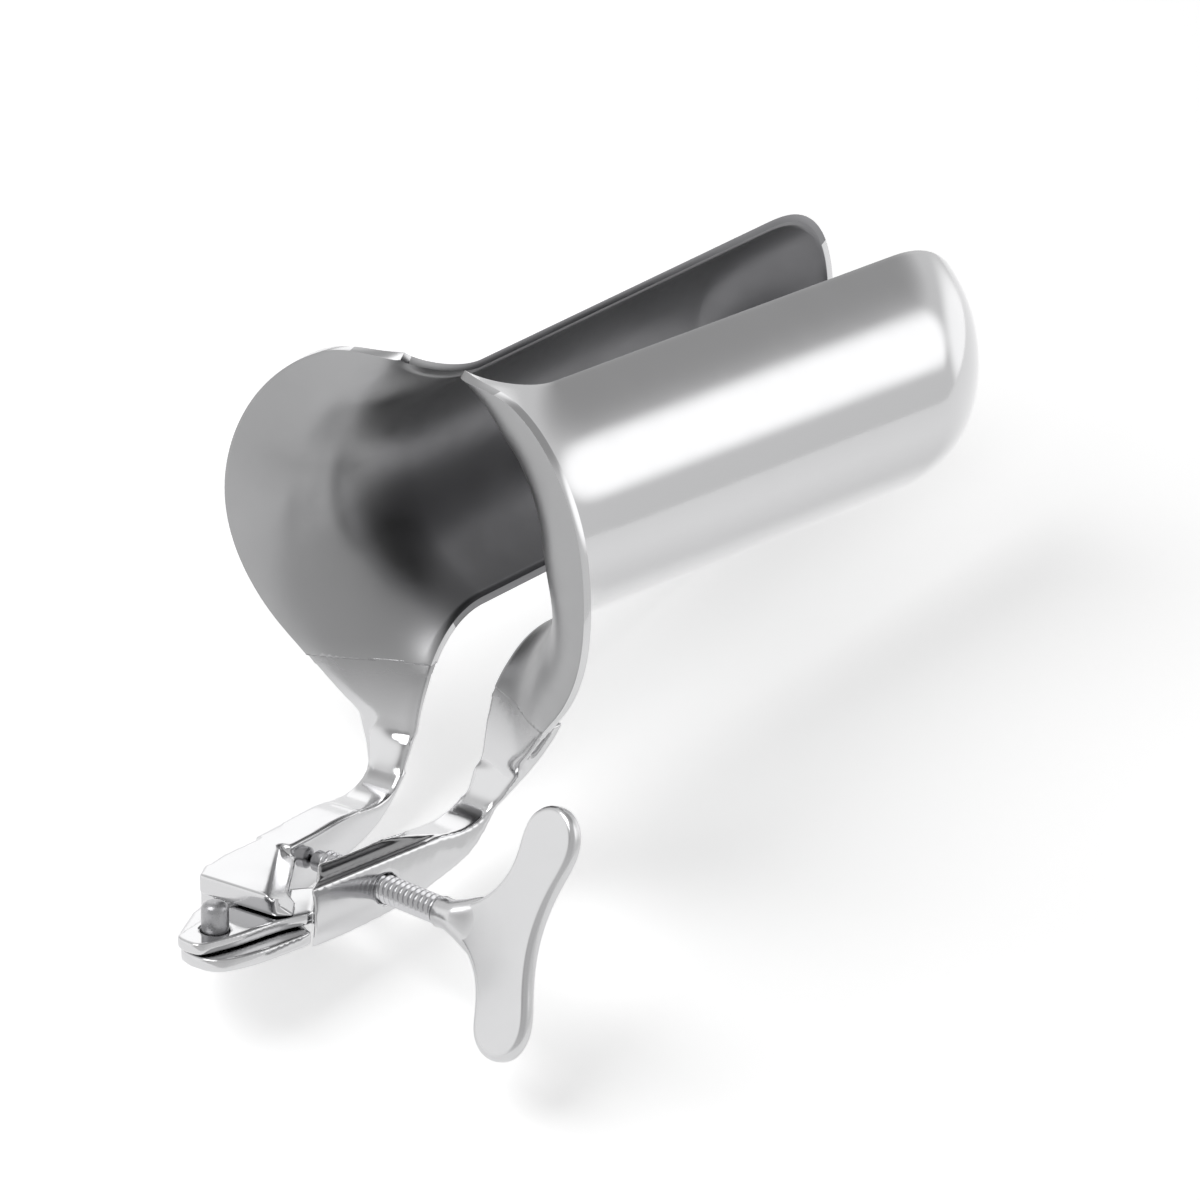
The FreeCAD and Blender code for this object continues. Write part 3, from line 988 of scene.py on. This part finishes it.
        # A narrow inset keeps the two broad faces flat up to the rounded rim.
        wide = [face for face in shape.faces if len(face.verts) >= BROAD_FACE]
        bmesh.ops.inset_region(shape, faces=wide, thickness=0.25 * MM, use_even_offset=True)
        self.add_neck(shape)
        turn = Matrix.Rotation(math.radians(90.0 - self.wing_tilt), 4, "Z")
        bmesh.ops.transform(shape, matrix=screw_place() @ turn, verts=shape.verts)
        outward(shape)
        return finished_piece(
            shape, "forged_wing", self.wing_finish, Slot.POLISHED, "screw", "screw_wing"
        )

    def add_neck(self, shape: bmesh.types.BMesh) -> None:
        """Adds the neck, turned round at the thread and hammered flat where it meets the plate.

        Args:
            shape: The wing's plate, which gets the neck.
        """
        low = self.thread_end + 0.02
        profile = [(0.0, low), (2.05, low), (2.3, low + 0.5), (2.24, low + 1.5), (2.3, low + 2.5)]
        for step in range(15):
            bulge = self.neck_radius * math.sqrt(max(0.0, 1.0 - (step / 14.0) ** 8))
            profile.append((bulge, low + 3.4 + 0.5 * step))
        neck = bmesh.new()
        verts = [neck.verts.new((x * MM, 0.0, z * MM)) for x, z in profile]
        edges = [neck.edges.new(pair) for pair in zip(verts, verts[1:])]
        bmesh.ops.spin(
            neck, geom=verts + edges, cent=(0.0, 0.0, 0.0), axis=(0.0, 0.0, 1.0), angle=math.tau,
            steps=48, use_merge=True,
        )
        for vert in neck.verts:
            part = ease((vert.co.z / MM - low - self.neck_flat_from) / self.neck_flat_run)
            vert.co.x *= 1.0 + self.neck_spread * part
            vert.co.y *= 1.0 - self.neck_thinning * part
        blended = bpy.data.meshes.new("neck")
        neck.to_mesh(blended)
        neck.free()
        shape.from_mesh(blended)
        bpy.data.meshes.remove(blended)

    def nose(self) -> None:
        """Gives the plain tip, which stays as the frame has it, the thread's finish."""
        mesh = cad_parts["screw_nose"].data
        mesh.materials.clear()
        mesh.materials.append(self.thread_finish)

    def build(self) -> None:
        """Builds the shank and the wing and dresses the tip."""
        self.thread()
        self.wing()
        self.nose()


@dataclass(frozen=True)
class Card:
    """A soft-edged card of the light tent, as the polished metal sees it.

    It stands in a direction given as right, up and back of the camera's place for the photograph,
    and its size is an angle in degrees. A level of 1 is as bright as white paper.
    """

    towards: tuple[float, float, float]
    half_angle: float
    softness: float
    level: float


@dataclass
class Studio:
    """A white light tent with grey cards, a pale floor, a soft lamp and the photograph's camera.

    The cards behind and above the camera grey the steel down, the ones at the sides and the back
    give it its bright bands, and the last one is the dark gap at the far left. Places, the lamp's
    size and the floor's radius are in metres.
    """

    floor_normal: tuple[float, float, float] = (-0.201, 0.918, 0.342)
    floor_radius: float = 0.26
    floor_gap: float = 0.2
    floor_glow: float = 0.48
    floor_shine: float = 0.64
    tent_level: float = 1.15
    fill_level: float = 0.45
    aim: tuple[float, float, float] = (0.075, 0.035, 0.0)
    lamp_place: tuple[float, float, float] = (-0.43, 0.74, -0.19)
    lamp_size: float = 0.5
    lamp_power: float = 3.4
    camera_place: tuple[float, float, float] = (-0.9843, 0.5817, 0.8025)
    camera_lens: float = 302.4
    cards: tuple[Card, ...] = (
        Card((0.0, 0.0, 1.0), 50.0, 25.0, 0.90),
        Card((-0.20, -0.75, 0.62), 32.0, 12.0, 1.00),
        Card((0.35, 0.93, 0.10), 25.0, 10.0, 0.58),
        Card((-0.60, 0.50, 0.62), 22.0, 14.0, 0.55),
        Card((0.92, 0.36, 0.12), 17.0, 6.0, 2.3),
        Card((0.78, 0.24, -0.56), 17.0, 7.0, 2.0),
        Card((0.0, 0.71, -0.70), 18.0, 10.0, 2.1),
        Card((-0.98, 0.13, 0.14), 22.0, 12.0, 1.7),
        Card((-0.50, 0.20, -0.84), 25.0, 12.0, 0.12),
    )

    def tent(self) -> None:
        """Makes the world: white to the camera, a tent with cards to the steel, and a fill."""
        world = bpy.data.worlds.new("light_tent")
        world.use_nodes = True
        bpy.context.scene.world = world
        tree = world.node_tree
        tree.nodes.clear()
        way = add_node(tree, "ShaderNodeTexCoord")
        level = add_node(tree, "ShaderNodeValue")
        level.outputs[0].default_value = self.tent_level
        socket = level.outputs[0]
        for card in self.cards:
            towards = (VIEW.to_3x3() @ Vector(card.towards)).normalized()
            near = add_node(
                tree, "ShaderNodeVectorMath", {0: way.outputs["Generated"], 1: towards},
                operation="DOT_PRODUCT",
            )
            inside = add_node(
                tree,
                "ShaderNodeMapRange",
                {
                    "Value": near.outputs["Value"],
                    "From Min": math.cos(math.radians(card.half_angle + card.softness)),
                    "From Max": math.cos(math.radians(max(0.0, card.half_angle - card.softness))),
                },
                interpolation_type="SMOOTHSTEP",
            )
            mixed = add_node(
                tree, "ShaderNodeMix", {0: inside.outputs["Result"], 2: socket, 3: card.level}
            )
            socket = mixed.outputs[0]
        path = add_node(tree, "ShaderNodeLightPath")
        shiny = add_node(
            tree, "ShaderNodeMix", {0: path.outputs["Is Glossy Ray"], 2: self.fill_level, 3: socket}
        )
        seen = add_node(
            tree, "ShaderNodeMix", {0: path.outputs["Is Camera Ray"], 2: shiny.outputs[0], 3: 1.0}
        )
        light = add_node(tree, "ShaderNodeBackground", {"Strength": seen.outputs[0]})
        add_node(tree, "ShaderNodeOutputWorld", {"Surface": light.outputs[0]})

    def floor(self) -> None:
        """Lays the pale floor just under the instrument's lowest point."""
        normal = Vector(self.floor_normal).normalized()
        lowest = min(
            normal.dot(vert.co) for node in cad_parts.values() for vert in node.data.vertices
        )
        shape = bmesh.new()
        bmesh.ops.create_circle(shape, cap_ends=True, segments=96, radius=self.floor_radius)
        turn = normal.to_track_quat("Z", "Y").to_matrix().to_4x4()
        middle = Vector((self.aim[0], 0.0, 0.0))
        middle += normal * (lowest - self.floor_gap * MM - normal.dot(middle))
        bmesh.ops.transform(shape, matrix=Matrix.Translation(middle) @ turn, verts=shape.verts)
        mesh = bpy.data.meshes.new("pale_floor")
        shape.to_mesh(mesh)
        shape.free()
        material = bare_material("pale_floor_paper")
        tree = material.node_tree
        path = add_node(tree, "ShaderNodeLightPath")
        shiny = add_node(
            tree, "ShaderNodeMath", {0: path.outputs["Is Glossy Ray"], 1: self.floor_shine},
            operation="MULTIPLY",
        )
        glow = add_node(
            tree, "ShaderNodeMath",
            {0: path.outputs["Is Camera Ray"], 1: self.floor_glow, 2: shiny.outputs[0]},
            operation="MULTIPLY_ADD",
        )
        shader = add_node(
            tree,
            "ShaderNodeBsdfPrincipled",
            {
                "Base Color": linear("#F2F2F2"),
                "Roughness": 1.0,
                "Specular IOR Level": 0.0,
                "Emission Color": (1.0, 1.0, 1.0, 1.0),
                "Emission Strength": glow.outputs[0],
            },
        )
        side = add_node(tree, "ShaderNodeNewGeometry")
        clear = add_node(tree, "ShaderNodeBsdfTransparent")
        mixed = add_node(
            tree, "ShaderNodeMixShader",
            {0: side.outputs["Backfacing"], 1: shader.outputs[0], 2: clear.outputs[0]},
        )
        add_node(tree, "ShaderNodeOutputMaterial", {"Surface": mixed.outputs[0]})
        mesh.materials.append(material)
        floor = bpy.data.objects.new("pale_floor", mesh)
        bpy.context.scene.collection.objects.link(floor)

    def lamp(self) -> None:
        """Hangs one square soft lamp that faces the instrument."""
        data = bpy.data.lights.new("key_softbox", "AREA")
        data.shape = "SQUARE"
        data.size = self.lamp_size
        data.energy = self.lamp_power
        lamp = bpy.data.objects.new("key_softbox", data)
        lamp.location = Vector(self.lamp_place)
        aim = Vector(self.aim) - lamp.location
        lamp.rotation_mode = "QUATERNION"
        lamp.rotation_quaternion = aim.to_track_quat("-Z", "Y")
        bpy.context.scene.collection.objects.link(lamp)

    def camera(self) -> None:
        """Sets the photograph's camera: a long lens, its axis square to the picture."""
        data = bpy.data.cameras.new("photo_camera")
        data.lens = self.camera_lens
        data.sensor_width = 36.0
        camera = bpy.data.objects.new("photo_camera", data)
        camera.matrix_world = Matrix.Translation(Vector(self.camera_place)) @ VIEW
        bpy.context.scene.collection.objects.link(camera)
        bpy.context.scene.camera = camera

    def build(self) -> None:
        """Sets up the camera, the tent, the floor and the lamp."""
        bpy.context.scene.view_settings.view_transform = "Standard"
        self.camera()
        self.tent()
        self.floor()
        self.lamp()


def main() -> None:
    """Builds the studio and the instrument, and reports each piece."""
    logging.basicConfig(level=logging.INFO, format="%(name)s: %(message)s")
    Studio().build()
    polished = PolishedStainless().make()
    turned = TurnedStainless().make()
    inside = SatinInsideWithPaintedShade().make()
    wing_steel = PolishedStainless(
        name="satin_stainless_steel", colour="#C2C2C3", roughness=0.24, wave=14.0, wave_height=0.3
    ).make()
    thread_steel = PolishedStainless(
        name="rolled_thread_steel", colour="#BEBEC0", roughness=0.18
    ).make()
    for valve in Valve:
        ValveSheet(valve, polished, inside).build()
        ForgedLever(valve, polished, inside).build()
    HingePin(turned).build()
    ThumbScrew(thread_steel, wing_steel).build()


if __name__ == "__main__":
    main()
